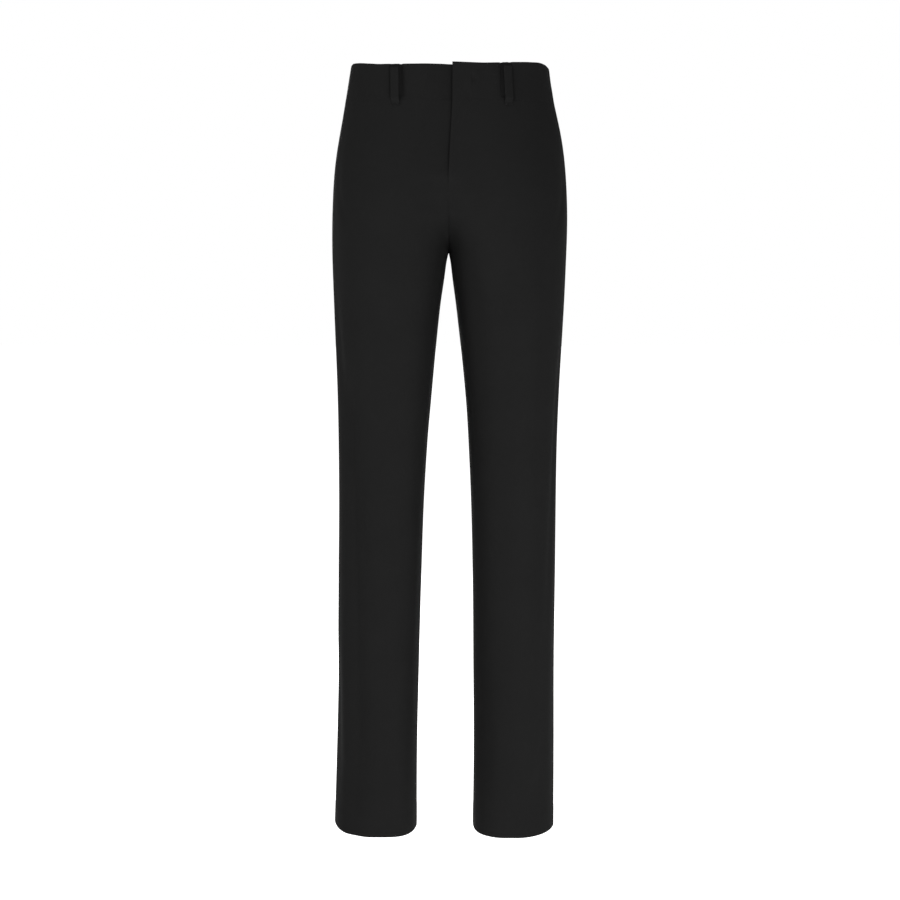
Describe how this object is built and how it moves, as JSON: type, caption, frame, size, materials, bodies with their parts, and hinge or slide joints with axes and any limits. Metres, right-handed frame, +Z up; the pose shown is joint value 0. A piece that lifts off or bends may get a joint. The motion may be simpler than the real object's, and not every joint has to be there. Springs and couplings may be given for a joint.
{
  "type": "quick-dry trousers",
  "caption": "Straight-leg cloth trousers, filled out as worn, open at waist and hems, with a waistband, belt loops and a lapped fly.",
  "frame": {"origin": "the middle of the waist, level with the waistband's top edge at the centre front, where the wearer holds the trousers up", "axes": "+Z up, the front faces -Y, and the wearer's left is +X"},
  "size_m": [0.327, 0.2493, 1.0741],
  "materials": {
    "leg_cloth": "matt black woven quick-dry cloth",
    "band_cloth": "the same cloth, folded double",
    "zip_tape": "black woven tape",
    "metal": "dark satin metal"
  },
  "bodies": {
    "root": {"front_left": "leg_cloth", "front_right": "leg_cloth", "back_left": "leg_cloth", "back_right": "leg_cloth", "waistband_left": "band_cloth", "waistband_right": "band_cloth", "fly_shield": "band_cloth", "zip_tape_left": "zip_tape", "zip_tape_right": "zip_tape", "zip_slider": "metal", "waist_hook": "metal", "waist_bar": "metal", "belt_loop_front_right": "band_cloth", "belt_loop_front_left": "band_cloth", "belt_loop_side_right": "band_cloth", "belt_loop_side_left": "band_cloth", "belt_loop_back": "band_cloth"}
  },
  "joints": []
}
